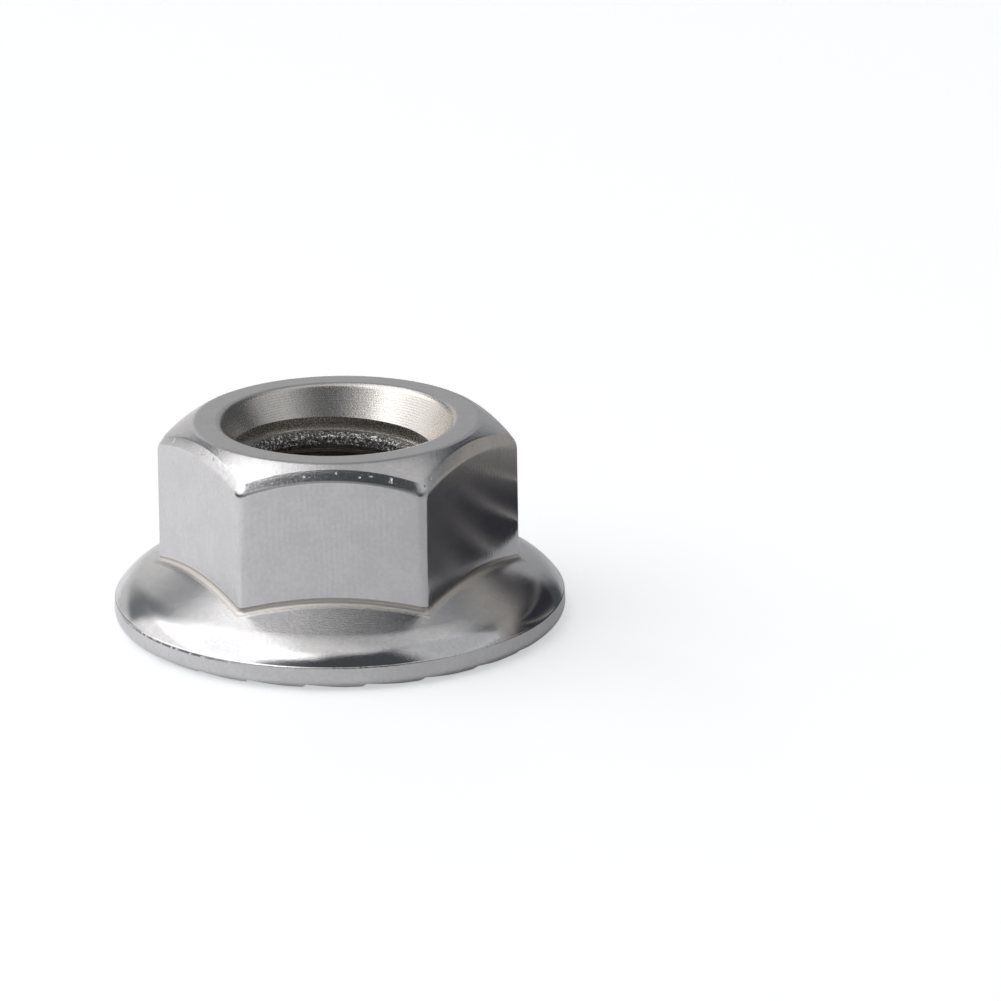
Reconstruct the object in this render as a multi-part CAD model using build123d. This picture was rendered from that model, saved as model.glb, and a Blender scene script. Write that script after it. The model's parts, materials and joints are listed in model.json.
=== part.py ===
from build123d import *
import os
from math import acos, cos, degrees, radians, sin, tan

# Serrated flange nut, M10 x 1.5, forged and tapped in one piece of stainless steel.
#
# The nut stands on its serrated flange, with the thread axis along +Z. The origin is the
# centre of the plane in which the tooth crests lie. A corner of the hexagon points along +X,
# so that two wrench faces look along Y. All sizes are in millimetres, all angles in degrees.

# Thread: the bore is the minor diameter, which is what the thread's crests leave open
thread_diameter = 10.0
thread_pitch = 1.5
crest_loss_per_pitch = 1.0825  # minor diameter = thread diameter - this x pitch

# Hexagon
height = 9.6  # of the whole nut
across_flats = 14.8  # a 15 mm wrench fits it
corner_radius = 0.5

# Top end
top_chamfer_inset = 0.68  # how far inside the wrench faces the chamfer starts
top_chamfer_angle = 32.0  # below the horizontal
face_arc_radius = 0.6  # round along the arcs where the chamfer meets the wrench faces

# Flange
flange_overhang = 2.14  # how far the rim stands out past the hexagon's sharp corners
flange_edge_thickness = 1.08  # height of the corner that the rim's upper round takes off
flange_bevel_width = 1.55  # of the steeper ring that leads down to the rim
flange_bevel_angle = 39.0  # below the horizontal
flange_cone_angle = 23.7  # below the horizontal, from the hexagon out to the bevel
rim_top_radius = 0.55
rim_foot_chamfer = 0.55
flange_fillet_radius = 0.45  # between the wrench faces and the cone

# Countersinks, one at each end of the thread
countersink_margin = 0.5  # how far they open past the thread's radius
countersink_angle = 60.0  # included angle of the cone

# Underside: a lip round the countersink, a smooth sunk land, then the ring of teeth
lip_width = 0.75
lip_angle = 10.0  # rise of the lip towards the bore
land_width = 0.85

# Teeth: long ramps that end in steep walls, which face the way the nut would come undone
tooth_count = 24
tooth_depth = 0.3
tooth_wall_run = 0.12  # how far the steep wall leans out over its depth
tooth_crest_width = 0.15  # flat left on each crest, which the nut stands on
tooth_arc_radius = 8.0  # in plan each wall follows an arc of this radius
tooth_arc_offset = 0.2  # how far inside the land's edge those arcs would come
tooth_phase = 7.0  # angle from +X at which the first wall reaches the rim
tooth_sections = 7  # sections along the loft of one gap

overshoot = 0.5  # how far a cutting tool reaches past the faces that it opens

# Sizes that follow
minor_radius = (thread_diameter - crest_loss_per_pitch * thread_pitch) / 2
face_distance = across_flats / 2
top_flat_radius = face_distance - top_chamfer_inset
flange_radius = face_distance / cos(radians(30)) + flange_overhang
countersink_radius = thread_diameter / 2 + countersink_margin
countersink_depth = (countersink_radius - minor_radius) / tan(radians(countersink_angle / 2))
lip_radius = countersink_radius + lip_width
land_radius = lip_radius + land_width
tooth_pitch_angle = 360 / tooth_count
crest_end_radius = flange_radius - rim_foot_chamfer


def turned(profile):
    """Solid of revolution about the thread axis; the profile's x is radius, its y is height."""
    return revolve(Plane.XZ * profile, Axis.Z)


def outline(*corners):
    """Closed straight-sided face through the corners."""
    return make_face(Polyline(*corners, close=True))


def side_edges(cone):
    """Edges of a cone's face that are neither circles nor straight."""
    return cone.edges().filter_by(lambda edge: edge.geom_type not in (GeomType.CIRCLE, GeomType.LINE))


def flat_to_cone_edges(body):
    """Edges along which the hexagon's sides meet the lowest cone that they reach."""
    cones = body.faces().filter_by(GeomType.CONE).filter_by(lambda cone: len(side_edges(cone)) > 0)
    return side_edges(cones.sort_by(Axis.Z)[0])


def hexagon():
    """Body with six wrench faces, chamfered all round at its top end."""
    section = RegularPolygon(face_distance, 6, major_radius=False)
    prism = extrude(fillet(section.vertices(), corner_radius), height)
    reach = flange_radius
    drop = (reach - top_flat_radius) * tan(radians(top_chamfer_angle))
    envelope = turned(
        outline((0, 0), (reach, 0), (reach, height - drop), (top_flat_radius, height), (0, height))
    )
    body = prism & envelope
    return fillet(flat_to_cone_edges(body), face_arc_radius)


def flange():
    """Cone with a bevelled, rounded and chamfered rim, which runs up inside the hexagon."""
    core_radius = face_distance - overshoot
    bevel_radius = flange_radius - flange_bevel_width
    bevel_height = flange_edge_thickness + flange_bevel_width * tan(radians(flange_bevel_angle))
    core_height = bevel_height + (bevel_radius - core_radius) * tan(radians(flange_cone_angle))
    profile = outline(
        (0, 0),
        (crest_end_radius, 0),
        (flange_radius, rim_foot_chamfer),
        (flange_radius, flange_edge_thickness),
        (bevel_radius, bevel_height),
        (core_radius, core_height),
        (0, core_height),
    )
    rim_top = profile.vertices().group_by(Axis.X)[-1].sort_by(Axis.Y)[-1]
    return turned(fillet(rim_top, rim_top_radius))


def blank():
    """Hexagon and flange in one, with the corner between them filled by a small round."""
    body = hexagon() + flange()
    return fillet(flat_to_cone_edges(body), flange_fillet_radius)


def bore():
    """Tapping bore with a countersink at each end."""
    flare = overshoot * tan(radians(countersink_angle / 2))
    lip_height = tooth_depth + lip_width * tan(radians(lip_angle))
    return turned(
        outline(
            (0, lip_height - overshoot),
            (countersink_radius + flare, lip_height - overshoot),
            (minor_radius, lip_height + countersink_depth),
            (minor_radius, height - countersink_depth),
            (countersink_radius + flare, height + overshoot),
            (0, height + overshoot),
        )
    )


def land():
    """Recess inside the teeth: flat at the depth of the roots, then rising to the bore."""
    rise = lip_radius * tan(radians(lip_angle))
    return turned(
        outline(
            (0, -overshoot),
            (land_radius, -overshoot),
            (land_radius, tooth_depth),
            (lip_radius, tooth_depth),
            (0, tooth_depth + rise),
        )
    )


def wall_turn(radius):
    """Angle that a wall's arc has turned from where it is nearest the axis to a radius."""
    nearest = land_radius - tooth_arc_offset
    centre = nearest + tooth_arc_radius
    return degrees(acos((radius**2 + centre**2 - tooth_arc_radius**2) / (2 * radius * centre)))


def gap_section(radius):
    """Upright section of one gap, across the chord between two walls at the same radius."""
    half_chord = radius * sin(radians(tooth_pitch_angle / 2))
    crest_edge = half_chord - tooth_crest_width
    section = outline(
        (-half_chord, -overshoot),
        (-half_chord, 0),
        (-half_chord + tooth_wall_run, tooth_depth),
        (crest_edge, 0),
        (crest_edge, -overshoot),
    )
    middle = wall_turn(radius) + tooth_pitch_angle / 2
    distance = radius * cos(radians(tooth_pitch_angle / 2))
    return Rot(0, 0, middle) * Pos(distance, 0, 0) * (Plane.YZ * section)


def gap():
    """Tool that cuts one gap, lofted outwards from inside the land's edge to past the rim."""
    inner = land_radius - tooth_arc_offset / 2
    step = (flange_radius + overshoot - inner) / (tooth_sections - 1)
    tool = loft([gap_section(inner + step * index) for index in range(tooth_sections)])
    return Rot(0, 0, tooth_phase - wall_turn(crest_end_radius)) * tool


def flange_nut():
    """The finished nut, with its gaps cut in a ring about the axis."""
    return blank() - bore() - land() - PolarLocations(0, tooth_count) * gap()


os.makedirs("parts", exist_ok=True)
export_step(flange_nut(), "parts/flange_nut.step")
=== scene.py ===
"""Looks of a serrated flange nut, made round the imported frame.

The nut is one forged and tapped piece. Its skin is drawn as rings that run once through the section: over
the crown, down the wrench faces, across the flange, round the rim, along the serrated bearing face and up
the bore. The thread is then cut into it. Sizes are in millimetres until the finished piece is scaled.
"""

import json
import logging
import math
from collections.abc import Callable
from dataclasses import dataclass, field
from enum import Enum
from functools import cached_property

import bpy
import numpy as np
from mathutils import Matrix, Vector


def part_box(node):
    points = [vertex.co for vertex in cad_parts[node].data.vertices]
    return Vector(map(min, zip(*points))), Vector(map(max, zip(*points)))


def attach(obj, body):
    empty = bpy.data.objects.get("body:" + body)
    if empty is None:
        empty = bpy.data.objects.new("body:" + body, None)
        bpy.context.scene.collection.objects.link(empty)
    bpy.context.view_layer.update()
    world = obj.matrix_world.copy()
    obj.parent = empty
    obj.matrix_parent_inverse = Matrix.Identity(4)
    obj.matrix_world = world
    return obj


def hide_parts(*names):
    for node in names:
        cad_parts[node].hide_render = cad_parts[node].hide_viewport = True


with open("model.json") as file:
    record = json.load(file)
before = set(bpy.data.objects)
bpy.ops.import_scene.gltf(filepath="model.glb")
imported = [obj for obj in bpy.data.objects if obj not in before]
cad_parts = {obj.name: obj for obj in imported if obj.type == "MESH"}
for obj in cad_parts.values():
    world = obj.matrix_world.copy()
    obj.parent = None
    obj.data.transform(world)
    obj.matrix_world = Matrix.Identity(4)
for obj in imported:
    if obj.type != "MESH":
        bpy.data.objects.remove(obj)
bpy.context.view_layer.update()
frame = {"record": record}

log = logging.getLogger("flange_nut")

MM = 0.001
NODE = "flange_nut"
BODY = "root"

Array = np.ndarray
Colour = tuple[float, float, float]
Pair = tuple[float, float]
Shares = tuple[float, ...]


# ------------------------------ sections


@dataclass
class Corner:
    """One corner of the section, given for every column of the skin.

    The straight run that follows it gets a ring at each fraction in run. The columns follow the teeth where
    teeth is 1 and the head's corners where it is 0.
    """

    radius: Array | float
    height: Array | float
    blend: Array | float = 0.0
    steps: int = 1
    run: Shares = ()
    teeth: float = 0.0

    def place(self, columns: int) -> Array:
        """Lays the corner out over the columns.

        Args:
            columns: Number of columns.

        Returns:
            Radius and height, one row per column.
        """
        radius = np.broadcast_to(np.asarray(self.radius, float), (columns,))
        height = np.broadcast_to(np.asarray(self.height, float), (columns,))
        return np.stack([radius, height], axis=1)


def unit(vectors: Array) -> Array:
    """Returns the rows of vectors at length one."""
    return vectors / np.linalg.norm(vectors, axis=1, keepdims=True)


def round_corner(before: Array, at: Array, after: Array, blend: Array | float, steps: int) -> list[Array]:
    """Rounds one corner with a tangent arc.

    Args:
        before: Corner before it, one row per column.
        at: The corner itself.
        after: Corner after it.
        blend: Arc radius, for all columns or for each.
        steps: Number of segments in the arc.

    Returns:
        The arc's points from the first tangent point to the last.
    """
    back, ahead = unit(before - at), unit(after - at)
    opening = np.arccos(np.clip(np.sum(back * ahead, axis=1), -1.0, 1.0))
    radius = np.broadcast_to(np.asarray(blend, float), opening.shape)
    reach = (radius / np.tan(opening / 2))[:, None]
    middle = at + unit(back + ahead) * (radius / np.sin(opening / 2))[:, None]
    first, last = at + back * reach - middle, at + ahead * reach - middle
    turn = np.pi - opening
    points = []
    for step in range(steps + 1):
        share = step / steps
        early, late = np.sin((1 - share) * turn) / np.sin(turn), np.sin(share * turn) / np.sin(turn)
        points.append(middle + first * early[:, None] + last * late[:, None])
    return points


def draw_section(corners: list[Corner], columns: int) -> list[tuple[Array, float]]:
    """Draws the closed section as rings.

    Args:
        corners: The section's corners in order, the last joining the first.
        columns: Number of columns round the axis.

    Returns:
        For each ring its radius and height in a row per column, and how far its columns follow the teeth.
    """
    places = [corner.place(columns) for corner in corners]
    arcs = []
    for index, corner in enumerate(corners):
        if np.max(corner.blend) == 0:
            arcs.append([places[index]])
            continue
        before, after = places[index - 1], places[(index + 1) % len(corners)]
        arcs.append(round_corner(before, places[index], after, corner.blend, corner.steps))
    rings = []
    for index, corner in enumerate(corners):
        following = (index + 1) % len(corners)
        start, end = arcs[index][-1], arcs[following][0]
        rings += [(points, corner.teeth) for points in arcs[index]]
        change = corners[following].teeth - corner.teeth
        rings += [(start + (end - start) * share, corner.teeth + change * share) for share in corner.run]
    return rings


# ------------------------------ the nut's parts


@dataclass
class Crown:
    """A turned surface that falls outwards, more steeply the further out. Slopes are in degrees."""

    inner_radius: float
    inner_height: float
    inner_slope: float
    outer_radius: float
    outer_slope: float

    def height(self, radius: Array | float) -> Array:
        """Measures the surface.

        Args:
            radius: Distance from the axis.

        Returns:
            The height of the surface there.
        """
        start = math.radians(self.inner_slope)
        bend = (math.radians(self.outer_slope) - start) / (self.outer_radius - self.inner_radius)
        slope = start + bend * (radius - self.inner_radius)
        return self.inner_height - np.log(math.cos(start) / np.cos(slope)) / bend


@dataclass
class WrenchHead:
    """The six-sided crown that a spanner turns, with its chamfered top."""

    height: float
    across_flats: float = 14.8
    top_flat_radius: float = 6.72
    chamfer_reach: float = 8.45
    chamfer_slopes: Pair = (28.0, 36.0)
    chamfer_steps: int = 4
    top_edge_round: float = 0.50
    top_edge_steps: int = 4
    bevel_width: float = 0.36
    bevel_angle: float = 54.0
    bevel_upper_round: float = 0.08
    bevel_lower_round: float = 0.28
    bevel_steps: tuple[int, int] = (2, 6)
    bevel_rings: Shares = (0.5,)
    face_rings: Shares = (0.02, 0.3, 0.6, 0.97)
    corner_softness: float = 0.40
    corner_round_top: float = 0.70
    corner_round_foot: float = 0.35
    sides: int = 6
    crowding: float = 0.75

    @property
    def side_angle(self) -> float:
        """Returns the angle that one wrench face takes up."""
        return math.tau / self.sides

    def column_angles(self, columns: int, first: int) -> Array:
        """Places the columns round the head, closer together near its corners.

        Args:
            columns: Number of columns round the axis.
            first: Columns from the corner on +X to the first one.

        Returns:
            The angle of each column in radians.
        """
        turn = (np.arange(columns + 1) + first) * self.sides / columns
        return self.side_angle * (turn - self.crowding * np.sin(math.tau * turn) / math.tau)

    def reach(self, angles: Array, corner_round: float) -> Array:
        """Measures the head from the axis to its side.

        Args:
            angles: Direction of each column.
            corner_round: Radius of the head's upright corners at this height.

        Returns:
            Distance to the rounded hexagon for each column.
        """
        half = self.side_angle / 2
        apothem = self.across_flats / 2
        off_corner = (angles + half) % self.side_angle - half
        off_face = half - np.abs(off_corner)
        flat = apothem / np.cos(off_face)
        middle = (apothem - corner_round) / math.cos(half)
        inside = np.maximum(corner_round**2 - (middle * np.sin(off_corner)) ** 2, 0.0)
        arc = middle * np.cos(off_corner) + np.sqrt(inside)
        flat_end = math.atan((apothem - corner_round) * math.tan(half) / apothem)
        return np.where(off_face > flat_end, arc, flat)

    def chamfer_corners(self, reach: Array) -> list[Corner]:
        """Lists the crowned chamfer's corners from the top flat to the wrench faces.

        Args:
            reach: Distance from the axis to the side of the head, for each column.

        Returns:
            The corners in order, the last two those of the bevel that breaks the chamfer's lower edge.
        """
        first_slope, last_slope = self.chamfer_slopes
        chamfer = Crown(self.top_flat_radius, self.height, first_slope, self.chamfer_reach, last_slope)
        cornering = (reach - np.min(reach)) / (np.max(reach) - np.min(reach))
        lower_round = self.bevel_lower_round + self.corner_softness * cornering**2
        last = reach - self.bevel_width
        corners = []
        for step in range(1, self.chamfer_steps):
            radius = self.top_flat_radius + (last - self.top_flat_radius) * step / self.chamfer_steps
            corners.append(Corner(radius, chamfer.height(radius)))
        edge = chamfer.height(last)
        foot = edge - self.bevel_width * math.tan(math.radians(self.bevel_angle))
        upper_steps, lower_steps = self.bevel_steps
        corners.append(Corner(last, edge, self.bevel_upper_round, upper_steps, self.bevel_rings))
        corners.append(Corner(reach, foot, lower_round, lower_steps, self.face_rings))
        return corners


@dataclass
class Flange:
    """The round flange under the head, with its rounded rim."""

    radius: float
    cone_radius: float = 9.34
    cone_height: float = 2.233
    cone_slope: float = 24.0
    brim_radius: float = 10.655
    brim_slope: float = 55.0
    brim_steps: int = 7
    brim_teeth: float = 0.8
    brim_edge_round: float = 0.07
    brim_edge_steps: int = 3
    brim_edge_rings: Shares = (0.5,)
    foot_fillet: float = 0.28
    foot_steps: int = 6
    cone_rings: Shares = (0.03, 0.2, 0.4, 0.6, 0.8, 0.97)
    bearing_radius: float = 10.08
    lower_round: Pair = (0.85, 0.60)
    lower_round_steps: int = 7

    @property
    def brim(self) -> Crown:
        """Returns the surface that curves down from the cone to the rim's upper edge."""
        return Crown(self.cone_radius, self.cone_height, self.cone_slope, self.brim_radius, self.brim_slope)

    def foot_height(self, radius: Array) -> Array:
        """Returns the height of the flange's cone at each distance from the axis."""
        return self.cone_height + (self.cone_radius - radius) * math.tan(math.radians(self.cone_slope))

    def brim_corners(self) -> list[Corner]:
        """Lists the corners of the brim, over which the columns turn to follow the teeth.

        Returns:
            The corners in order, the last that of the rim's upper edge.
        """
        corners = []
        for share in np.linspace(0, 1, self.brim_steps + 1)[:-1]:
            radius = self.cone_radius + (self.brim_radius - self.cone_radius) * share
            teeth = self.brim_teeth + (1 - self.brim_teeth) * share
            corners.append(Corner(radius, self.brim.height(radius), teeth=teeth))
        edge = self.brim.height(self.brim_radius)
        steps, rings = self.brim_edge_steps, self.brim_edge_rings
        corners.append(Corner(self.brim_radius, edge, self.brim_edge_round, steps, rings, 1.0))
        return corners

    @property
    def belt_height(self) -> float:
        """Returns the height at which the rim's lower round starts."""
        width, height = self.lower_round
        return height * math.sqrt(1 - (1 - (self.radius - self.bearing_radius) / width) ** 2)

    def along_lower_round(self, lift: Array, share: float) -> tuple[Array, Array]:
        """Follows the rim's lower round, part of an ellipse, down to the bearing face.

        Args:
            lift: Height of the bearing face in each column.
            share: How far along the round, from 0 at the belt to 1 at the bearing face.

        Returns:
            Distance from the axis and height, for each column.
        """
        width, height = self.lower_round
        angle = share * np.arcsin((self.belt_height - lift) / height)
        return self.radius - width * (1 - np.cos(angle)), self.belt_height - height * np.sin(angle)


@dataclass
class Serration:
    """The curved ratchet teeth of the bearing face."""

    outer_radius: float
    count: int = 24
    depth: float = 0.30
    crest_width: float = 0.15
    wall_run: float = 0.12
    crest_round: float = 0.05
    root_round: float = 0.08
    arc_radius: float = 8.0
    nearest_radius: float = 6.9
    land_radius: float = 7.10
    phase: float = 7.0
    crest_steps: int = 3
    root_steps: int = 4
    ramp_columns: int = 12
    outer_round: float = 0.03
    outer_steps: int = 2
    face_rings: Shares = (0.02, *(ring / 9 for ring in range(1, 9)), 0.98)
    land_rings: Shares = (0.03, 0.2, 0.4, 0.6, 0.8, 0.97)
    land_inner_rings: Shares = (0.05, 0.5, 0.95)

    def pitch(self, radius: Array | float) -> Array | float:
        """Returns the length of one tooth round the axis at each radius."""
        return math.tau * radius / self.count

    def wall_turn(self, radius: Array | float) -> Array:
        """Follows a tooth's wall, an arc that runs outwards.

        Args:
            radius: Distance from the axis.

        Returns:
            How far the wall has turned there, in radians.
        """
        radius = np.asarray(radius, float)
        centre = self.nearest_radius + self.arc_radius
        return np.arccos((radius**2 + centre**2 - self.arc_radius**2) / (2 * radius * centre))

    def outline(self) -> tuple[Array, Array, Array]:
        """Draws one tooth across its run.

        Returns:
            For each column its offset from the wall's foot, its share of the ramp and its lift.
        """
        middle = (self.outer_radius + self.land_radius) / 2
        ramp_end = self.pitch(middle) - self.crest_width
        start, edge, root, end = (
            np.array([point])
            for point in ((-self.crest_width, 0.0), (0.0, 0.0), (self.wall_run, self.depth), (ramp_end, 0.0))
        )
        crest = round_corner(start, edge, root, self.crest_round, self.crest_steps)
        valley = round_corner(edge, root, end, self.root_round, self.root_steps)
        points = [start, (start + crest[0]) / 2, *crest, (crest[-1] + valley[0]) / 2, *valley]
        steep = np.concatenate(points)
        shares = np.arange(1, self.ramp_columns + 1) / (self.ramp_columns + 1)
        offsets = np.concatenate([steep[:, 0], np.full(shares.shape, steep[-1, 0])])
        lifts = np.concatenate([steep[:, 1], steep[-1, 1] * (1 - shares)])
        return offsets, np.concatenate([np.zeros(len(steep)), shares]), lifts

    @property
    def columns(self) -> int:
        """Returns the number of columns round the whole bearing face."""
        return self.count * len(self.outline()[0])

    def around(self) -> tuple[Array, Array, Array, Array]:
        """Repeats the tooth's outline round the axis.

        Returns:
            The outline's three rows for every column, and the angle at which each column's tooth starts.
        """
        offsets, shares, lifts = (np.tile(row, self.count) for row in self.outline())
        tooth = np.repeat(np.arange(self.count), len(offsets) // self.count)
        starts = math.radians(self.phase) + tooth * math.tau / self.count
        offsets, shares, lifts = (np.append(row, row[0]) for row in (offsets, shares, lifts))
        return offsets, shares, lifts, np.append(starts, starts[0] + math.tau)

    def column_angles(self, radius: Array) -> Array:
        """Places the columns along the curved teeth.

        Args:
            radius: Distance from the axis, for each column.

        Returns:
            The angle of each column in radians.
        """
        offsets, shares, _, starts = self.around()
        radius = np.clip(radius, self.land_radius, None)
        ramp = self.pitch(radius) - self.crest_width - offsets
        turned = self.wall_turn(radius) - self.wall_turn(self.outer_radius)
        return starts + turned + (offsets + shares * ramp) / radius


@dataclass
class Bore:
    """The tapped hole with a countersink at each end."""

    height: float
    minor_radius: float
    mouth_radius: float = 5.5
    countersink_angle: float = 60.0
    lip_radius: float = 6.25
    lip_angle: float = 10.0
    upper_mouth_round: float = 0.40
    upper_mouth_steps: int = 6
    upper_mouth_rings: Shares = (0.08, 0.5, 0.92)
    lower_mouth_round: float = 0.08
    lower_mouth_steps: int = 3
    lower_mouth_rings: Shares = (0.03,)
    shaft_rings: Shares = (0.97,)
    major_radius: float = 5.0
    pitch: float = 1.5
    flank_angle: float = 30.0
    cutter_steps: int = 96
    cutter_back: float = 0.28

    @property
    def countersink_depth(self) -> float:
        """Returns how deep each countersink runs into the bore."""
        return (self.mouth_radius - self.minor_radius) * math.tan(math.radians(self.countersink_angle))

    def lower_mouth_height(self, land_height: float) -> float:
        """Returns the height of the lower mouth, inside the sloping lip."""
        return land_height + (self.lip_radius - self.mouth_radius) * math.tan(math.radians(self.lip_angle))

    def thread_cutter(self) -> bpy.types.Object:
        """Winds the tap's tooth up the bore.

        Returns:
            A closed helical ridge that reaches past both ends of the bore.
        """
        depth = self.major_radius - self.minor_radius
        root_width = self.pitch / 8
        slope = math.tan(math.radians(self.flank_angle))
        inner = self.minor_radius - self.cutter_back
        foot_width = root_width + 2 * (depth + self.cutter_back) * slope
        turns = math.ceil(self.height / self.pitch) + 2
        bpy.ops.object.select_all(action="DESELECT")
        bpy.ops.mesh.primitive_plane_add(size=1)
        cutter = bpy.context.object
        bpy.ops.object.mode_set(mode="EDIT")
        bpy.ops.mesh.select_all(action="SELECT")
        bpy.ops.mesh.delete(type="ONLY_FACE")
        bpy.ops.object.mode_set(mode="OBJECT")
        for vertex in cutter.data.vertices:
            outward = vertex.co.x > 0
            width = root_width if outward else foot_width
            vertex.co = (self.major_radius if outward else inner, 0.0, math.copysign(width / 2, vertex.co.y))
        cutter.location.z = -self.pitch
        screw = cutter.modifiers.new("thread", "SCREW")
        screw.screw_offset = self.pitch
        screw.iterations = turns
        screw.steps = screw.render_steps = self.cutter_steps
        screw.use_merge_vertices = False
        bpy.ops.object.modifier_apply(modifier=screw.name)
        bpy.ops.object.mode_set(mode="EDIT")
        bpy.ops.mesh.select_all(action="DESELECT")
        bpy.ops.mesh.select_mode(type="EDGE")
        bpy.ops.mesh.select_non_manifold()
        bpy.ops.mesh.edge_face_add()
        bpy.ops.mesh.select_all(action="SELECT")
        bpy.ops.mesh.normals_make_consistent(inside=False)
        bpy.ops.object.mode_set(mode="OBJECT")
        bpy.ops.object.transform_apply(location=True, rotation=True, scale=True)
        return cutter


@dataclass
class FlangeNut:
    """The whole nut: head, flange, bearing face and bore in one piece."""

    head: WrenchHead
    flange: Flange
    serration: Serration
    bore: Bore
    crease_angle: float = 28.0
    first_column: int = 10
    merge_distance: float = 1e-4

    @classmethod
    def from_frame(cls) -> "FlangeNut":
        """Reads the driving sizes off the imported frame.

        Returns:
            A nut as high and as wide as its node, with the record's bore.
        """
        low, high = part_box(NODE)
        height, radius = (high.z - low.z) / MM, (high.x - low.x) / 2 / MM
        thread = next(mount for mount in frame["record"]["mounts"] if mount["name"] == "thread")
        flange = Flange(radius)
        bore = Bore(height, thread["dims"]["r_mm"])
        return cls(WrenchHead(height), flange, Serration(flange.bearing_radius), bore)

    def corners(self, head_angles: Array) -> list[Corner]:
        """Lists the section's corners from the upper mouth outwards and round.

        Args:
            head_angles: Direction of each column on the head.

        Returns:
            The corners in order.
        """
        head, flange, teeth, bore = self.head, self.flange, self.serration, self.bore
        lift = teeth.around()[2]
        top_reach = head.reach(head_angles, head.corner_round_top)
        foot_reach = head.reach(head_angles, head.corner_round_foot)
        foot_height = flange.foot_height(foot_reach)
        upper_mouth = bore.upper_mouth_round, bore.upper_mouth_steps, bore.upper_mouth_rings
        crown = [
            Corner(bore.mouth_radius, head.height, *upper_mouth),
            Corner(head.top_flat_radius, head.height, head.top_edge_round, head.top_edge_steps),
            *head.chamfer_corners(top_reach),
            Corner(foot_reach, foot_height, flange.foot_fillet, flange.foot_steps, flange.cone_rings),
            *flange.brim_corners(),
        ]
        shares = np.linspace(0, 1, flange.lower_round_steps + 1)
        *rim_places, foot_place = (flange.along_lower_round(lift, share) for share in shares)
        rim = [Corner(*place, teeth=1.0) for place in rim_places]
        mouth_height = bore.lower_mouth_height(teeth.depth)
        lower_mouth = bore.lower_mouth_round, bore.lower_mouth_steps, bore.lower_mouth_rings
        bearing = [
            Corner(*foot_place, teeth.outer_round, teeth.outer_steps, teeth.face_rings, 1.0),
            Corner(teeth.land_radius, lift, teeth=1.0),
            Corner(teeth.land_radius, teeth.depth, run=teeth.land_rings, teeth=1.0),
            Corner(bore.lip_radius, teeth.depth, run=teeth.land_inner_rings),
            Corner(bore.mouth_radius, mouth_height, *lower_mouth),
        ]
        shaft = [
            Corner(bore.minor_radius, mouth_height + bore.countersink_depth),
            Corner(bore.minor_radius, head.height - bore.countersink_depth, run=bore.shaft_rings),
        ]
        return [*crown, *rim, *bearing, *shaft]

    def roll_skin(self) -> bpy.types.Object:
        """Rolls a flat grid up into the nut's skin, before the thread is cut.

        Returns:
            The closed blank.
        """
        columns = self.serration.columns
        head_angles = self.head.column_angles(columns, self.first_column)
        rings = draw_section(self.corners(head_angles), columns + 1)
        rings.append(rings[0])
        places = np.empty((len(rings), columns + 1, 3))
        for row, (points, teeth) in enumerate(rings):
            radius, height = points.T
            angles = head_angles * (1 - teeth) + self.serration.column_angles(radius) * teeth
            places[row] = np.stack([radius * np.cos(angles), radius * np.sin(angles), height], axis=1)
        bpy.ops.object.select_all(action="DESELECT")
        bpy.ops.mesh.primitive_grid_add(x_subdivisions=columns, y_subdivisions=len(rings) - 1, size=1)
        skin = bpy.context.object
        skin.data.vertices.foreach_set("co", places.ravel())
        skin.data.update()
        bpy.ops.object.mode_set(mode="EDIT")
        bpy.ops.mesh.select_all(action="SELECT")
        bpy.ops.mesh.remove_doubles(threshold=self.merge_distance)
        bpy.ops.mesh.normals_make_consistent(inside=False)
        bpy.ops.object.mode_set(mode="OBJECT")
        return skin

    def cut_thread(self, skin: bpy.types.Object) -> None:
        """Cuts the thread into the blank.

        Args:
            skin: The closed blank.
        """
        cutter = self.bore.thread_cutter()
        bpy.ops.object.select_all(action="DESELECT")
        bpy.context.view_layer.objects.active = skin
        skin.select_set(True)
        cut = skin.modifiers.new("tap", "BOOLEAN")
        cut.operation = "DIFFERENCE"
        cut.solver = "EXACT"
        cut.object = cutter
        bpy.ops.object.modifier_apply(modifier=cut.name)
        bpy.data.objects.remove(cutter)

    def build(self) -> bpy.types.Object:
        """Makes the finished nut in metres.

        Returns:
            The nut as one closed mesh at the origin.
        """
        nut = self.roll_skin()
        self.cut_thread(nut)
        nut.name = nut.data.name = "finished_nut"
        nut.scale = (MM, MM, MM)
        bpy.ops.object.transform_apply(location=True, rotation=True, scale=True)
        bpy.ops.object.shade_smooth_by_angle(angle=math.radians(self.crease_angle))
        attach(nut, BODY)
        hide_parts(NODE)
        return nut


# ------------------------------ shader maths


class Ray(Enum):
    """The rays that a finish can tell apart."""

    CAMERA = "Is Camera Ray"
    MIRRORED = "Is Glossy Ray"


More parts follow.
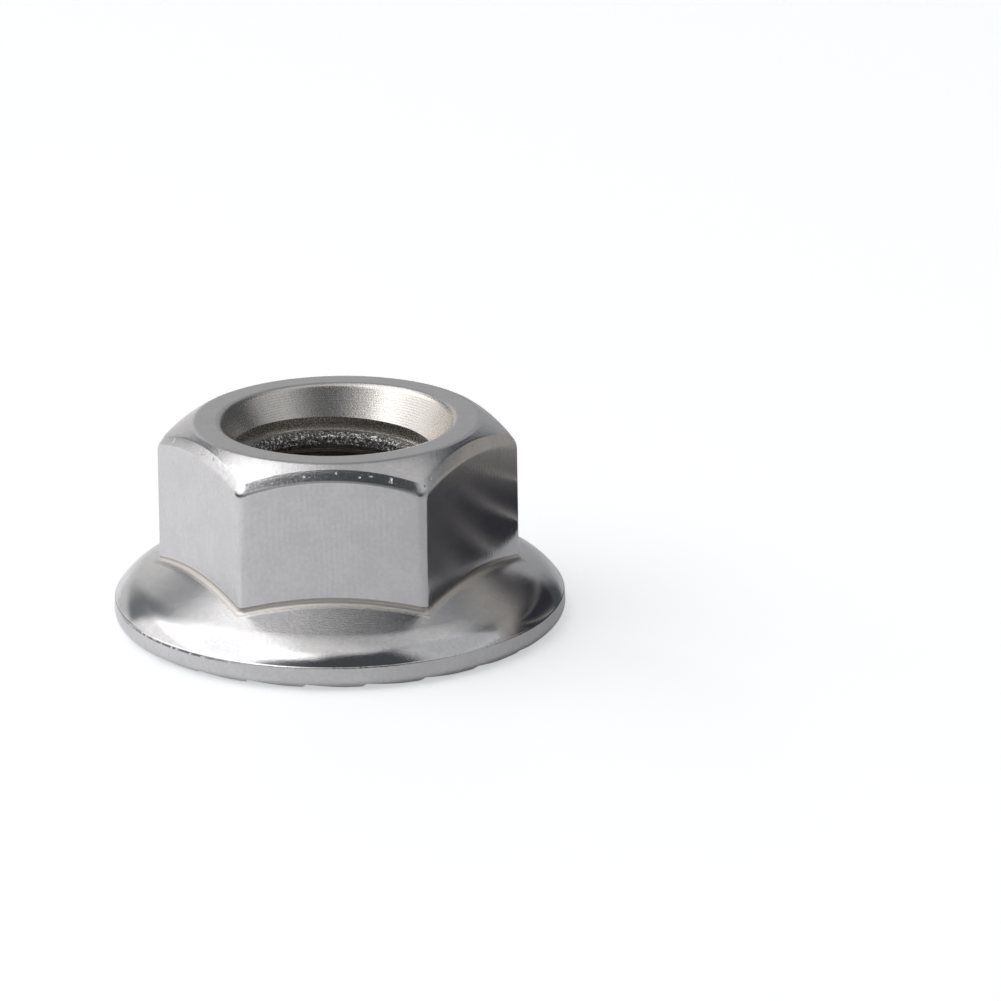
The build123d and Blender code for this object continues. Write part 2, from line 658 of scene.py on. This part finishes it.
class Wire:
    """A node socket that sums are written with."""

    def __init__(self, kit: "Kit", socket: bpy.types.NodeSocket | None) -> None:
        self.kit = kit
        self.socket = socket

    def __add__(self, other: "Wire | float") -> "Wire":
        """Returns self + other."""
        return self.kit.maths("ADD", self, other)

    def __sub__(self, other: "Wire | float") -> "Wire":
        """Returns self - other."""
        return self.kit.maths("SUBTRACT", self, other)

    def __rsub__(self, other: float) -> "Wire":
        """Returns other - self."""
        return self.kit.maths("SUBTRACT", other, self)

    def __mul__(self, other: "Wire | float") -> "Wire":
        """Returns self * other."""
        return self.kit.maths("MULTIPLY", self, other)

    def __truediv__(self, other: "Wire | float") -> "Wire":
        """Returns self / other."""
        return self.kit.maths("DIVIDE", self, other)

    def __rtruediv__(self, other: float) -> "Wire":
        """Returns other / self."""
        return self.kit.maths("DIVIDE", other, self)

    __radd__ = __add__
    __rmul__ = __mul__

    def ramp(self, low: float, high: float) -> "Wire":
        """Returns 0 below low and 1 above high, with a smooth step between."""
        inputs = {"Value": self, "From Min": low, "From Max": high}
        return self.kit.add("ShaderNodeMapRange", {"interpolation_type": "SMOOTHSTEP"}, inputs)


class Kit:
    """Adds nodes to one node tree."""

    def __init__(self, tree: bpy.types.NodeTree) -> None:
        """Empties the tree."""
        self.tree = tree
        tree.nodes.clear()

    def add(
        self, kind: str, settings: dict | None = None, inputs: dict | None = None, output: int | str = 0
    ) -> Wire:
        """Adds one node.

        Args:
            kind: The node's type.
            settings: Its properties, set before its sockets.
            inputs: A value or a Wire for each socket, by name or number.
            output: The output socket wanted.

        Returns:
            The wanted output.
        """
        node = self.tree.nodes.new(kind)
        for name, value in (settings or {}).items():
            setattr(node, name, value)
        for name, value in (inputs or {}).items():
            socket = node.inputs[name]
            if isinstance(value, Wire):
                self.tree.links.new(value.socket, socket)
            else:
                socket.default_value = value
        return Wire(self, node.outputs[output] if len(node.outputs) else None)

    def maths(self, operation: str, *values: Wire | float) -> Wire:
        """Returns the result of one Math node."""
        return self.add("ShaderNodeMath", {"operation": operation}, dict(enumerate(values)))

    def blend(self, share: Wire | float, first: Wire | Colour, second: Wire | Colour) -> Wire:
        """Mixes two colours.

        Args:
            share: How much of the second colour there is.
            first: The colour where share is 0.
            second: The colour where it is 1.

        Returns:
            The mixed colour.
        """
        settings = {"data_type": "RGBA"}
        colours = [value if isinstance(value, Wire) else (*value, 1.0) for value in (first, second)]
        return self.add("ShaderNodeMix", settings, {0: share, 6: colours[0], 7: colours[1]}, 2)

    def span(self, value: Wire, low: float, high: float, soft: float) -> Wire:
        """Returns 1 where value lies between low and high, with soft edges that wide."""
        return value.ramp(low - soft / 2, low + soft / 2) * (1 - value.ramp(high - soft / 2, high + soft / 2))

    def along(self, place: Wire, direction: tuple[float, float, float]) -> Wire:
        """Returns how far each point lies along a direction."""
        settings = {"operation": "DOT_PRODUCT"}
        return self.add("ShaderNodeVectorMath", settings, {0: place, 1: direction}, "Value")

    def coordinates(self, kind: str) -> tuple[Wire, Wire, Wire, Wire]:
        """Adds a texture coordinate.

        Args:
            kind: The coordinate's name, such as Object.

        Returns:
            The coordinate, and how far it lies along X, Y and Z.
        """
        place = self.add("ShaderNodeTexCoord", output=kind)
        across, away, up = (self.along(place, axis) for axis in ((1, 0, 0), (0, 1, 0), (0, 0, 1)))
        return place, across, away, up

    def ray(self, kind: Ray) -> Wire:
        """Returns 1 for one kind of ray."""
        return self.add("ShaderNodeLightPath", output=kind.value)

    def finish(self, shader: Wire, kind: str = "ShaderNodeOutputMaterial") -> None:
        """Links the shader to the tree's output."""
        self.add(kind, {}, {"Surface": shader})


@dataclass(frozen=True)
class Pattern:
    """Noise with a grain of one size in millimetres, sharpened between two levels where it has them."""

    size: float
    detail: float = 2.0
    roughness: float = 0.5
    levels: Pair | None = None

    def over(self, place: Wire) -> Wire:
        """Lays the pattern over a piece.

        Args:
            place: Each point's place in metres.

        Returns:
            The pattern there, between 0 and 1.
        """
        values = {"Vector": place, "Scale": 1 / (self.size * MM)}
        values |= {"Detail": self.detail, "Roughness": self.roughness}
        noise = place.kit.add("ShaderNodeTexNoise", {}, values)
        return noise.ramp(*self.levels) if self.levels else noise


def new_material(name: str) -> tuple[bpy.types.Material, Kit]:
    """Makes an empty node material.

    Args:
        name: The material's name.
    """
    material = bpy.data.materials.new(name)
    material.use_nodes = True
    return material, Kit(material.node_tree)


# ------------------------------ finishes


@dataclass
class NutPlaces:
    """Where each part of the nut lies, as shares between 0 and 1 over its surface.

    A step says where a share starts and ends to change, and a band what it covers. Both are in millimetres
    past the edge that they belong to, and the burr's turn is in radians.
    """

    kit: Kit
    nut: FlangeNut
    mouth_step: Pair = (-0.02, 0.08)
    face_step: Pair = (-0.04, -0.01)
    face_foot_step: Pair = (0.15, 0.35)
    fillet_inner_step: Pair = (-0.10, -0.02)
    fillet_outer_step: Pair = (0.16, 0.34)
    fillet_band: Pair = (-0.25, 0.22)
    foot_line_band: Pair = (0.14, 0.24)
    thread_step: Pair = (-0.10, 0.20)
    daylight_step: Pair = (-3.6, -1.9)
    crest_step: Pair = (0.21, 0.41)
    torn_step: Pair = (-4.0, -3.5)
    brim_step: Pair = (-0.855, -0.405)
    rim_step: Pair = (-0.055, -0.015)
    rim_band: Pair = (-0.08, 0.05)
    burr_step: Pair = (-0.055, -0.025)
    burr_band: Pair = (-0.10, 0.00)
    burr_turn: Pair = (-2.80, -2.05)
    bevel_band: Pair = (-0.27, -0.15)
    bevel_height_step: Pair = (-1.7, -1.3)

    def __post_init__(self) -> None:
        """Measures each point's place from the nut's edges."""
        head, flange, bore = self.nut.head, self.nut.flange, self.nut.bore
        self.point, across, away, up = self.kit.coordinates("Object")
        self.height = up / MM
        self.turn = self.kit.maths("ARCTAN2", away, across)
        radius = self.kit.maths("SQRT", across * across + away * away) / MM
        cone = (flange.cone_radius - radius) * math.tan(math.radians(flange.cone_slope))
        self.above_flange = self.height - flange.cone_height - cone
        self.past_top = self.height - head.height
        self.past_rim_edge = self.height - flange.brim.height(flange.brim_radius)
        self.past_face = self.half_width() - head.across_flats / 2
        self.past_brim = radius - flange.brim_radius
        self.past_mouth = radius - bore.mouth_radius
        self.past_major = radius - bore.major_radius
        self.past_minor = radius - bore.minor_radius

    def half_width(self) -> Wire:
        """Measures each point square to the wrench face that it is nearest to.

        Returns:
            The distance from the axis in millimetres.
        """
        head = self.nut.head
        turns = (head.side_angle * (side + 0.5) for side in range(head.sides // 2))
        spans = (self.kit.along(self.point, (math.cos(turn), math.sin(turn), 0)) for turn in turns)
        first, second, third = (self.kit.maths("ABSOLUTE", span) for span in spans)
        return self.kit.maths("MAXIMUM", self.kit.maths("MAXIMUM", first, second), third) / MM

    @cached_property
    def bore(self) -> Wire:
        """The bore and its countersinks."""
        return 1 - self.past_mouth.ramp(*self.mouth_step)

    @cached_property
    def faces(self) -> Wire:
        """The wrench faces."""
        return self.past_face.ramp(*self.face_step) * self.above_flange.ramp(*self.face_foot_step)

    @cached_property
    def foot(self) -> Wire:
        """The fillet between the wrench faces and the flange."""
        outside = self.past_face.ramp(*self.fillet_inner_step)
        inside = 1 - self.past_face.ramp(*self.fillet_outer_step)
        return outside * inside * self.kit.span(self.above_flange, *self.fillet_band, soft=0.12)

    @cached_property
    def foot_line(self) -> Wire:
        """The line where the fillet runs out on the wrench faces, darkened there as painted shade."""
        outside = self.past_face.ramp(*self.fillet_inner_step)
        return outside * self.kit.span(self.above_flange, *self.foot_line_band, soft=0.06)

    @cached_property
    def thread(self) -> Wire:
        """The thread below the daylight, apart from its clean crests, where painted shade darkens the steel.
        """
        depth = (1 - self.past_major.ramp(*self.thread_step)) * (1 - self.past_top.ramp(*self.daylight_step))
        return depth * (1 - self.crest + self.torn_crest)

    @cached_property
    def crest(self) -> Wire:
        """The crests of the thread."""
        return 1 - self.past_minor.ramp(*self.crest_step)

    @cached_property
    def torn_crest(self) -> Wire:
        """The first crests under the upper mouth, which the tap has torn. Painted glints and painted shade
        are spotted over them.
        """
        return self.crest * self.past_top.ramp(*self.torn_step)

    @cached_property
    def brim(self) -> Wire:
        """The bright brim round the flange."""
        return self.past_brim.ramp(*self.brim_step)

    @cached_property
    def rim_edge(self) -> Wire:
        """The sheared edge of the rim."""
        band = self.kit.span(self.past_rim_edge, *self.rim_band, soft=0.06)
        return self.past_brim.ramp(*self.rim_step) * band

    @cached_property
    def burr_shadow(self) -> Wire:
        """The thin line under the rim's edge, along the stretch where the shear left a burr, with the burr's
        shadow painted there.
        """
        band = self.kit.span(self.past_rim_edge, *self.burr_band, soft=0.04)
        stretch = self.kit.span(self.turn, *self.burr_turn, soft=0.30)
        return self.past_brim.ramp(*self.burr_step) * band * stretch

    @cached_property
    def bevel(self) -> Wire:
        """The bevel between the top chamfer and each wrench face."""
        band = self.kit.span(self.past_face, *self.bevel_band, soft=0.06)
        return band * self.past_top.ramp(*self.bevel_height_step)


@dataclass(frozen=True)
class Skin:
    """The surface of one part of the nut.

    The dots make it rougher by their own amount. The grain and the tears are heights in millimetres.
    """

    roughness: float = 0.09
    dots: float = 0.11
    grain: float = 0.0085
    tears: float = 0.0


@dataclass(frozen=True)
class StainlessFinish:
    """Cold-forged stainless steel: bright on the flange, duller on the wrench faces and in the bore.

    Lengths are in millimetres. A cover is how much of the colour below is hidden. Some colours are painted
    light: shade down the thread, glints and shade on the torn crests, shade along the top of the fillet and
    the burr's shadow under the rim.
    """

    colour: Colour = (0.70, 0.70, 0.705)
    shade: Colour = (0.64, 0.64, 0.65)
    warm: Colour = (0.70, 0.67, 0.63)
    # painted shade for the thread down the bore
    painted_thread_shade: Colour = (0.24, 0.22, 0.19)
    grey: Colour = (0.45, 0.45, 0.45)
    # painted shade along the top of the fillet under the wrench faces
    painted_fillet_shade: Colour = (0.36, 0.32, 0.28)
    # painted shadow under the burr at the rim's edge
    painted_burr_shadow: Colour = (0.10, 0.10, 0.11)
    # painted shade and painted glints, spotted over the torn crests
    painted_tear_shade: Colour = (0.07, 0.07, 0.07)
    painted_tear_glint: Colour = (0.90, 0.89, 0.87)
    foot_cover: float = 0.80
    bore_cover: float = 0.90
    torn_cover: float = 0.90
    foot_line_cover: float = 0.75
    burr_cover: float = 0.85
    grey_cover: float = 0.05

    plain: Skin = Skin()
    faces: Skin = Skin(roughness=0.17, dots=0.06, grain=0.003)
    foot: Skin = Skin(roughness=0.34, tears=0.02)
    brim: Skin = Skin(roughness=0.06, dots=0.03, grain=0.003)
    mouth: Skin = Skin(roughness=0.24, tears=0.004)
    thread: Skin = Skin(tears=0.004)
    torn_crest: Skin = Skin(tears=0.10)
    rim_edge: Skin = Skin(tears=0.018)

    cloud: Pattern = Pattern(1.4, 4.0, 0.6)
    speckle: Pattern = Pattern(0.15, 2.0, 0.6)
    dots: Pattern = Pattern(0.07, 1.0, levels=(0.52, 0.74))
    grain: Pattern = Pattern(0.07, 3.0, 0.7)
    tears: Pattern = Pattern(0.16, 3.0, 0.7)
    # picks painted shade or painted glint on the torn crests
    glint_and_shade_spots: Pattern = Pattern(0.13, 3.0, 0.7, (0.50, 0.60))
    burr_breaks: Pattern = Pattern(0.25, 3.0, levels=(0.40, 0.50))
    nicks: Pattern = Pattern(0.36, 1.0, levels=(0.66, 0.74))
    ripple_drift: Pattern = Pattern(1.6, 2.0)
    ripple_patches: Pattern = Pattern(2.2, 1.0, levels=(0.42, 0.60))

    shade_levels: Pair = (0.38, 0.62)
    cloud_roughness: float = 0.05
    nick_depth: float = 0.05
    ring_pitch: float = 0.11
    ring_height: float = 0.0009
    ripples: int = 186
    ripple_wander: float = 9.0
    ripple_lean: float = 0.045
    ripple_height: float = 0.0009

    def ripple(self, places: NutPlaces) -> Wire:
        """Draws the fine upright ripples that the forging die left on the wrench faces.

        Args:
            places: Where the nut's parts lie.

        Returns:
            The ripples, between -1 and 1.
        """
        lean = places.height * places.height * self.ripple_lean
        drift = self.ripple_drift.over(places.point) * self.ripple_wander + lean
        wave = places.kit.maths("SINE", places.turn * self.ripples + drift)
        return wave * self.ripple_patches.over(places.point) * places.faces

    def spread(self, places: NutPlaces, quality: Callable[[Skin], float]) -> Wire:
        """Spreads one quality of the skin over the nut.

        Args:
            places: Where the nut's parts lie.
            quality: Reads the quality off a skin.

        Returns:
            The quality at each point.
        """
        zones = (
            (places.faces, self.faces),
            (places.foot, self.foot),
            (places.brim, self.brim),
            (places.bore - places.thread, self.mouth),
            (places.thread, self.thread),
            (places.torn_crest, self.torn_crest),
            (places.rim_edge, self.rim_edge),
        )
        plain = quality(self.plain)
        changes = [share * (quality(skin) - plain) for share, skin in zones if quality(skin) != plain]
        return sum(changes, plain)

    def relief(self, places: NutPlaces, ripple: Wire) -> Wire:
        """Adds up the fine relief.

        Args:
            places: Where the nut's parts lie.
            ripple: The wrench faces' ripples.

        Returns:
            The height of the relief in millimetres.
        """
        rings = places.kit.maths("SINE", places.height * (math.tau / self.ring_pitch))
        relief = self.grain.over(places.point) * self.spread(places, lambda skin: skin.grain)
        relief = relief + self.tears.over(places.point) * self.spread(places, lambda skin: skin.tears)
        relief = relief + ripple * self.ripple_height
        relief = relief + rings * (places.bore - places.crest) * self.ring_height
        return relief - self.nicks.over(places.point) * places.bevel * self.nick_depth

    def base_colour(self, places: NutPlaces, cloud: Wire, ripple: Wire) -> Wire:
        """Colours the steel, each coat laid over the ones before it.

        Args:
            places: Where the nut's parts lie.
            cloud: The steel's slow unevenness.
            ripple: The wrench faces' ripples.

        Returns:
            The steel's colour.
        """
        mix = (cloud + self.speckle.over(places.point)) / 2
        # painted glints and painted shade for the torn crests
        tear_glints_and_shade = places.kit.blend(self.glint_and_shade_spots.over(places.point), self.painted_tear_shade, self.painted_tear_glint)
        coats = (
            (mix.ramp(*self.shade_levels), self.colour),
            (places.foot * self.foot_cover + places.bore * self.bore_cover, self.warm),
            # painted shade darkens the thread below the daylight
            (places.thread, self.painted_thread_shade),
            # painted glints and painted shade over the torn crests
            (places.torn_crest * self.torn_cover, tear_glints_and_shade),
            # painted shade along the top of the fillet
            (places.foot_line * self.foot_line_cover, self.painted_fillet_shade),
            # painted shadow under the burr, broken along its stretch
            (places.burr_shadow * self.burr_breaks.over(places.point) * self.burr_cover, self.painted_burr_shadow),
            ((ripple + 1) * self.grey_cover, self.grey),
        )
        colour = self.shade
        for share, coat in coats:
            colour = places.kit.blend(share, colour, coat)
        return colour

    def material(self, nut: FlangeNut) -> bpy.types.Material:
        """Makes the finished steel.

        Args:
            nut: The nut, whose edges part the finishes.

        Returns:
            The steel's material.
        """
        steel, kit = new_material("stainless_steel")
        places = NutPlaces(kit, nut)
        ripple = self.ripple(places)
        cloud = self.cloud.over(places.point)
        roughness = self.spread(places, lambda skin: skin.roughness) + (cloud - 0.5) * self.cloud_roughness
        roughness = roughness + self.dots.over(places.point) * self.spread(places, lambda skin: skin.dots)
        bump = {"Strength": 1.0, "Distance": MM, "Height": self.relief(places, ripple)}
        values = {"Base Color": self.base_colour(places, cloud, ripple), "Metallic": 1.0}
        values |= {"Roughness": roughness, "Normal": kit.add("ShaderNodeBump", {}, bump)}
        kit.finish(kit.add("ShaderNodeBsdfPrincipled", {}, values))
        return steel


@dataclass(frozen=True)
class PaperFloor:
    """White seamless board: the lens sees it bright, and it keeps the shadow."""

    colour: Colour = (0.80, 0.80, 0.81)
    sheen: float = 0.45
    lift: Colour = (0.49, 0.50, 0.51)
    mirrored_lift: Colour = (0.32, 0.32, 0.33)
    mirrored_reach: Pair = (-16.0, 22.0)

    def material(self) -> bpy.types.Material:
        """Makes the floor's board.

        Returns:
            The board's material.
        """
        paper, kit = new_material("white_board")
        values = {"Base Color": (*self.colour, 1.0), "Roughness": self.sheen}
        plain = kit.add("ShaderNodeBsdfPrincipled", {}, values)
        across = kit.coordinates("Object")[1]
        leftwards = (0 - across / MM).ramp(*self.mirrored_reach)
        mirrored = kit.blend(kit.ray(Ray.MIRRORED) * leftwards, (0.0, 0.0, 0.0), self.mirrored_lift)
        glow = kit.blend(kit.ray(Ray.CAMERA), mirrored, self.lift)
        bright = kit.add("ShaderNodeEmission", {}, {"Color": glow, "Strength": 1.0})
        kit.finish(kit.add("ShaderNodeAddShader", {}, {0: plain, 1: bright}))
        return paper


@dataclass(frozen=True)
class FlagPaper:
    """Dark card with paler curved bands, which the steel mirrors.

    A band leans by its twist, in bands per millimetre outwards, and its sharpness is the power of its fall.
    """

    dark: Colour = (0.035, 0.035, 0.042)
    pale: Colour = (0.36, 0.34, 0.32)
    paling: Pair = (-4.0, 1.0)
    bands: int = 24
    twist: float = 0.22
    sharpness: float = 9.0

    def material(self) -> bpy.types.Material:
        """Makes the banded card.

        Returns:
            The card's material.
        """
        card, kit = new_material("dark_card")
        _, across, up, _ = kit.coordinates("Object")
        reach = kit.maths("SQRT", across * across + up * up) / MM
        turn = kit.maths("ARCTAN2", up, across) / math.tau
        band = kit.maths("FRACT", turn * self.bands + reach * self.twist)
        board = kit.blend((up / MM).ramp(*self.paling), self.dark, self.pale)
        glow = kit.blend(kit.maths("POWER", band, self.sharpness), board, self.pale)
        kit.finish(kit.add("ShaderNodeEmission", {}, {"Color": glow, "Strength": 1.0}))
        return card


# ------------------------------ the studio


@dataclass(frozen=True)
class SoftBox:
    """One upright flat lamp beside the nut."""

    name: str
    distance: float
    depth_span: Pair
    height_span: Pair
    radiance: float

    def hang(self) -> None:
        """Hangs the lamp so that it faces the nut's axis along X."""
        lamp = bpy.data.lights.new(self.name, "AREA")
        lamp.shape = "RECTANGLE"
        lamp.size = (self.depth_span[1] - self.depth_span[0]) * MM
        lamp.size_y = (self.height_span[1] - self.height_span[0]) * MM
        lamp.energy = self.radiance * math.pi * lamp.size * lamp.size_y
        holder = bpy.data.objects.new(self.name, lamp)
        bpy.context.collection.objects.link(holder)
        middle = Vector((self.distance, sum(self.depth_span) / 2, sum(self.height_span) / 2))
        holder.location = middle * MM
        holder.rotation_euler = Vector((-self.distance, 0, 0)).to_track_quat("-Z", "Y").to_euler()
        holder.visible_camera = False


@dataclass(frozen=True)
class Card:
    """One stretch of the room's wall or ceiling, as seen from the nut.

    Azimuth is 0 behind the camera, 90 to the right and 180 behind the nut. Angles are in degrees.
    """

    azimuth: Pair
    elevation: Pair
    brightness: float
    soft: float = 6.0


@dataclass
class Camera:
    """The lens, found by its place round the nut and the pixel that the nut's origin falls on.

    Azimuth, elevation and roll are in degrees, the distance is taken from a point the lift above the origin.
    """

    distance: float = 220.0
    azimuth: float = 2.58
    elevation: float = 20.15
    roll: float = -1.17
    focal_pixels: float = 4628.74
    origin_pixel: Pair = (340.42, 608.53)
    image_size: int = 1001
    sensor_width: float = 36.0
    lift: float = 0.1
    clipping: Pair = (10.0, 5000.0)

    def set_up(self) -> None:
        """Adds the camera and makes it the scene's own."""
        turn, rise = math.radians(self.azimuth), math.radians(self.elevation)
        back = Vector((math.sin(turn) * math.cos(rise), -math.cos(turn) * math.cos(rise), math.sin(rise)))
        right = Vector((math.cos(turn), math.sin(turn), 0.0))
        level = Matrix((right, back.cross(right), back)).transposed()
        centre = self.image_size / 2
        across, down = ((pixel - centre) / self.focal_pixels for pixel in self.origin_pixel)
        towards_origin = Vector((across, -down, -1.0)).normalized()
        swing = towards_origin.rotation_difference(Vector((0.0, 0.0, -1.0))).to_matrix()
        tilt = Matrix.Rotation(math.radians(self.roll), 3, "Z")
        lens = bpy.data.cameras.new("camera")
        lens.sensor_width = self.sensor_width
        lens.lens = self.focal_pixels * self.sensor_width / self.image_size
        lens.clip_start, lens.clip_end = (distance * MM for distance in self.clipping)
        camera = bpy.data.objects.new("camera", lens)
        bpy.context.collection.objects.link(camera)
        pose = (level @ tilt @ swing).to_4x4()
        pose.translation = (back * self.distance + Vector((0, 0, self.lift))) * MM
        camera.matrix_world = pose
        bpy.context.scene.camera = camera


@dataclass
class Room:
    """The room that the steel mirrors: dark, with cards on its walls and ceiling.

    A card covers the ones before it.
    """

    brightness: float = 0.08
    dark_tint: Colour = (0.94, 1.0, 1.09)
    bright_tint: Colour = (1.02, 1.0, 0.99)
    bright_tint_from: float = 0.6
    cards: tuple[Card, ...] = (
        # the wall on the left, darker towards the back
        Card((-190, -90), (-20, 36), 1.00, 8),
        Card((-190, -135), (-20, 28), 0.66, 8),
        Card((-190, -169), (-20, 28), 0.46, 8),
        Card((-190, -155), (27, 76), 0.36, 6),
        Card((-152, -127), (11, 43), 0.22, 4),
        Card((-157, -117), (43, 76), 1.40, 3),
        Card((-122, -50), (20, 37), 1.20, 6),
        # the wall on the right and at the back
        Card((56, 104), (-20, 36), 0.36, 8),
        Card((156, 190), (-20, 46), 0.38, 8),
        Card((148, 190), (42, 72), 0.28, 8),
        Card((102, 150), (53, 73), 0.60, 6),
        # the ceiling
        Card((-400, 400), (69.2, 120), 0.80, 2.5),
        Card((40, 150), (69.5, 84), 0.56, 7),
        Card((72, 190), (74, 87), 0.36, 14),
        Card((122, 162), (66, 79), 0.68, 8),
        Card((-190, -145), (72, 87), 0.48, 10),
        Card((-140, -60), (69, 75), 1.20, 4),
        # the edges of the dark gap over the camera
        Card((-20, -3), (66, 74), 0.70, 4),
        Card((-52, -34), (44, 52), 0.36, 4),
        Card((-36, -20), (44, 57), 0.14, 4),
        Card((-62, -31), (57.5, 68.5), 2.30, 3),
        Card((-56, -40), (52, 60), 1.50, 3),
        Card((-31, -17), (60.5, 71), 1.40, 3),
        Card((-70, -14), (34, 41.5), 1.10, 3),
        # the camera's own side, low down
        Card((-46, -20), (20, 34), 0.60, 6),
        Card((-22, 2), (8, 36), 0.40, 8),
        Card((0, 16), (8, 36), 0.22, 8),
        Card((28, 60), (24, 42), 0.36, 8),
        Card((50, 60), (42, 66), 0.48, 3),
        Card((-16, 16), (-20, 10), 0.40, 6),
    )

    def paint(self) -> None:
        """Paints the room all round the nut. The lens itself sees plain white."""
        world = bpy.data.worlds.new("room")
        world.use_nodes = True
        bpy.context.scene.world = world
        kit = Kit(world.node_tree)
        _, across, away, up = kit.coordinates("Generated")
        turn = math.degrees(1) * kit.maths("ARCTAN2", across, 0 - away)
        rise = math.degrees(1) * kit.maths("ARCSINE", up)
        brightness = self.brightness
        for card in self.cards:
            share = kit.span(turn, *card.azimuth, card.soft) * kit.span(rise, *card.elevation, card.soft)
            brightness = brightness + share * (card.brightness - brightness)
        lens = kit.ray(Ray.CAMERA)
        tint = kit.blend(brightness.ramp(0.0, self.bright_tint_from), self.dark_tint, self.bright_tint)
        colour = kit.blend(lens, tint, (1.0, 1.0, 1.0))
        strength = lens + (1 - lens) * brightness
        light = kit.add("ShaderNodeBackground", {}, {"Color": colour, "Strength": strength})
        kit.finish(light, "ShaderNodeOutputWorld")


@dataclass
class Flag:
    """A dark disc beside the nut, which its right-hand faces mirror."""

    place: tuple[float, float, float] = (16.2, -1.6, 8.3)
    facing: tuple[float, float, float] = (-0.46, -0.80, 0.385)
    radius: float = 8.65
    edges: int = 64

    def stand(self) -> None:
        """Stands the disc up, where only mirrored rays see it."""
        bpy.ops.object.select_all(action="DESELECT")
        bpy.ops.mesh.primitive_circle_add(vertices=self.edges, radius=self.radius * MM, fill_type="NGON")
        flag = bpy.context.object
        flag.name = "dark_flag"
        flag.location = Vector(self.place) * MM
        flag.rotation_euler = Vector(self.facing).to_track_quat("Z", "Y").to_euler()
        flag.data.materials.append(FlagPaper().material())
        flag.visible_camera = flag.visible_diffuse = flag.visible_shadow = False


@dataclass
class Studio:
    """A white paper floor and backdrop under soft light."""

    floor_size: float = 3000.0
    room: Room = field(default_factory=Room)
    flag: Flag = field(default_factory=Flag)
    lamps: tuple[SoftBox, ...] = (
        SoftBox("left_soft_box", -300.0, (-270.0, 190.0), (205.0, 860.0), 1.42),
        SoftBox("right_soft_box", 300.0, (-190.0, 80.0), (200.0, 800.0), 0.47),
    )

    def lay_floor(self) -> None:
        """Lays the paper floor under the nut."""
        bpy.ops.object.select_all(action="DESELECT")
        bpy.ops.mesh.primitive_plane_add(size=self.floor_size * MM)
        floor = bpy.context.object
        floor.name = "paper_floor"
        floor.data.materials.append(PaperFloor().material())

    def set_up(self) -> None:
        """Lays the floor, paints the room, hangs the lamps and stands the flag."""
        self.lay_floor()
        self.room.paint()
        for lamp in self.lamps:
            lamp.hang()
        self.flag.stand()
        bpy.context.scene.view_settings.view_transform = "Standard"


def main() -> None:
    """Makes the nut, dresses it and sets up the studio."""
    logging.basicConfig(level=logging.INFO, format="%(name)s: %(message)s")
    nut = FlangeNut.from_frame()
    finished = nut.build()
    finished.data.materials.clear()
    finished.data.materials.append(StainlessFinish().material(nut))
    log.info("%s: %d faces, one closed piece on %s", finished.name, len(finished.data.polygons), BODY)
    Studio().set_up()
    Camera().set_up()


if __name__ == "__main__":
    main()
